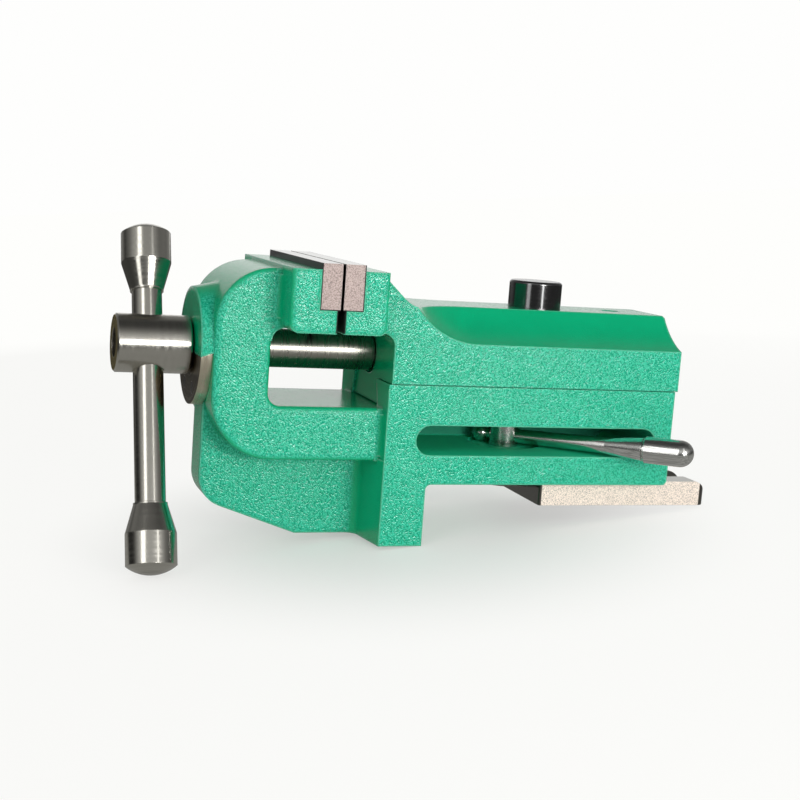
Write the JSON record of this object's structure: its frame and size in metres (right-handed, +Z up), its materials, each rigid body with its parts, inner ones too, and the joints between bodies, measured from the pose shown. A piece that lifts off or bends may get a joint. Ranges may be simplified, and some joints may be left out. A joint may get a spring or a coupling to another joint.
{
  "type": "watchmaker vise",
  "caption": "Small green bench vise with a C-shaped front arm, sliding rear jaw on a dovetail, spindle with tommy bar, quick-release button and a clamp lever over a swivel plate.",
  "frame": {"origin": "middle of the underside of the swivel plate, the face that lies on the bench", "axes": "+X to the rear along the spindle, -Y to the side of the clamp lever, +Z up"},
  "size_m": [0.2291, 0.0904, 0.1175],
  "materials": {
    "enamel": "green stoved enamel with a fine hammered grain",
    "jaw_steel": "ground hardened steel, grainy sawn ends",
    "plate_steel": "bright drawn steel, grainy sides",
    "keeper_steel": "oiled dark steel",
    "screw_steel": "machined steel",
    "spindle_steel": "polished and oiled",
    "turned_steel": "bright turned",
    "lever_chrome": "polished chrome",
    "bronze": "machined bearing bronze",
    "button_black": "glossy black"
  },
  "bodies": {
    "base": {"swivel_plate": "plate_steel", "pivot_stud": "screw_steel"},
    "frame": {"frame_casting": "enamel", "front_jaw_plate": "jaw_steel", "front_jaw_screws": "screw_steel", "spindle_bush": "bronze", "retaining_segment": "keeper_steel", "retaining_screws": "screw_steel"},
    "slide": {"slide_casting": "enamel", "rear_jaw_plate": "jaw_steel", "rear_jaw_screws": "screw_steel", "set_screw": "screw_steel", "button_spring": "screw_steel"},
    "button": {"release_button": "button_black", "push_pins": "screw_steel", "half_nut": "bronze"},
    "spindle": {"spindle": "spindle_steel", "spindle_hub": "turned_steel", "thrust_washer": "keeper_steel"},
    "bar": {"tommy_bar": "turned_steel", "upper_knob": "turned_steel", "lower_knob": "turned_steel"},
    "lever": {"lever_hub": "lever_chrome", "lever_rod": "lever_chrome", "lever_ball": "lever_chrome", "lever_grip": "lever_chrome"}
  },
  "joints": [
    {"name": "swivel", "type": "hinge", "parent": "base", "child": "frame", "pos_m": [-0.04315, 0, 0.0095], "axis": [0, 0, 1], "range_deg": [-30, 30]},
    {"name": "spindle_turn", "type": "hinge", "parent": "frame", "child": "spindle", "pos_m": [-0.16625, 0, 0.0537], "axis": [-1, 0, 0], "range_deg": [-89, 3600]},
    {"name": "jaw_slide", "type": "slide", "parent": "frame", "child": "slide", "axis": [1, 0, 0], "range_m": [-0.001, 0.0401]},
    {"name": "bar_slide", "type": "slide", "parent": "spindle", "child": "bar", "axis": [0, 0.3827, 0.9239], "range_m": [-0.0084, 0.0461]},
    {"name": "lever_turn", "type": "hinge", "parent": "frame", "child": "lever", "pos_m": [-0.04315, 0, 0.02316], "axis": [0, 0, 1], "range_deg": [-96, 6]},
    {"name": "button_press", "type": "slide", "parent": "slide", "child": "button", "axis": [0, 0, -1], "range_m": [0, 0.0034], "stiffness_N_per_m": 2000, "springref_m": -0.002, "deforming": ["button_spring"]}
  ],
  "couplings": [
    {"joint": "jaw_slide", "follows": "spindle_turn", "m_per_rad": 0.0006366}
  ]
}
